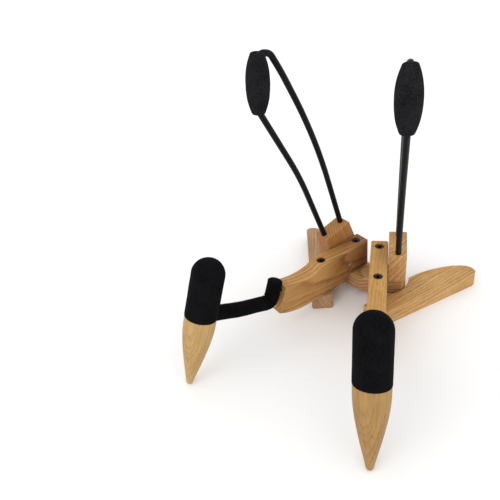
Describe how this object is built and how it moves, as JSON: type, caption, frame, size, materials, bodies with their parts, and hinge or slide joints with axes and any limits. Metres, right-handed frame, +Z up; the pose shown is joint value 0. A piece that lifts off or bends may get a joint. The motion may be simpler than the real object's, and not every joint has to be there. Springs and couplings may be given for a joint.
{
  "type": "folding guitar stand",
  "caption": "Low folding timber stand: hinged arms with padded hooks and feet, rear legs, and padded wire loops that lean forward as a backrest",
  "frame": {"origin": "middle of the bounding box at floor level", "axes": "+Z up; the arms and feet point to the front, -Y; +X to the right of someone who stands behind the stand and looks the way its arms point away, mirror plane at X = 0"},
  "size_m": [0.2072, 0.27, 0.2817],
  "materials": {
    "oak": "oiled",
    "foam": "matte foam",
    "coated_wire": "semi-gloss coating",
    "black_steel": "black oxide",
    "zinc_steel": "zinc plated"
  },
  "bodies": {
    "hub": {"hub_block": "oak", "left_hub_screw": "black_steel", "left_hub_nut": "zinc_steel", "left_hub_washer": "zinc_steel", "right_hub_screw": "black_steel", "right_hub_nut": "zinc_steel", "right_hub_washer": "zinc_steel"},
    "left_arm": {"left_arm": "oak", "left_hook_rod": "coated_wire", "left_hook_sleeve": "foam", "left_foot_peg": "oak", "left_foot_cap": "foam"},
    "left_leg": {"left_rear_leg": "oak", "left_leg_screw": "black_steel", "left_leg_nut": "zinc_steel", "left_leg_washer": "zinc_steel"},
    "left_back": {"left_back_block": "oak", "left_back_loop": "coated_wire", "left_back_bud": "foam", "left_block_screw": "zinc_steel", "left_block_nut": "zinc_steel", "left_block_washer": "zinc_steel"},
    "right_arm": {"right_arm": "oak", "right_hook_rod": "coated_wire", "right_hook_sleeve": "foam", "right_foot_peg": "oak", "right_foot_cap": "foam"},
    "right_leg": {"right_rear_leg": "oak", "right_leg_screw": "black_steel", "right_leg_nut": "zinc_steel", "right_leg_washer": "zinc_steel"},
    "right_back": {"right_back_block": "oak", "right_back_loop": "coated_wire", "right_back_bud": "foam", "right_block_screw": "zinc_steel", "right_block_nut": "zinc_steel", "right_block_washer": "zinc_steel"}
  },
  "joints": [
    {"name": "left_arm_close", "type": "hinge", "parent": "hub", "child": "left_arm", "pos_m": [-0.01365, 0.07823, 0.02625], "axis": [0, 0, 1], "range_deg": [0, 16.5]},
    {"name": "left_leg_fold", "type": "hinge", "parent": "left_arm", "child": "left_leg", "pos_m": [-0.03173, 0.03097, 0.01825], "axis": [0, 0, 1], "range_deg": [0, 128]},
    {"name": "left_back_fold", "type": "hinge", "parent": "left_arm", "child": "left_back", "pos_m": [-0.02808, 0.0664, 0.038], "axis": [0.934, -0.3574, 0], "range_deg": [0, 66]},
    {"name": "right_arm_close", "type": "hinge", "parent": "hub", "child": "right_arm", "pos_m": [0.01365, 0.07823, 0.02625], "axis": [0, 0, -1], "range_deg": [0, 16.5]},
    {"name": "right_leg_fold", "type": "hinge", "parent": "right_arm", "child": "right_leg", "pos_m": [0.03173, 0.03097, 0.01825], "axis": [0, 0, -1], "range_deg": [0, 128]},
    {"name": "right_back_fold", "type": "hinge", "parent": "right_arm", "child": "right_back", "pos_m": [0.02808, 0.0664, 0.038], "axis": [0.934, 0.3574, 0], "range_deg": [0, 66]}
  ]
}
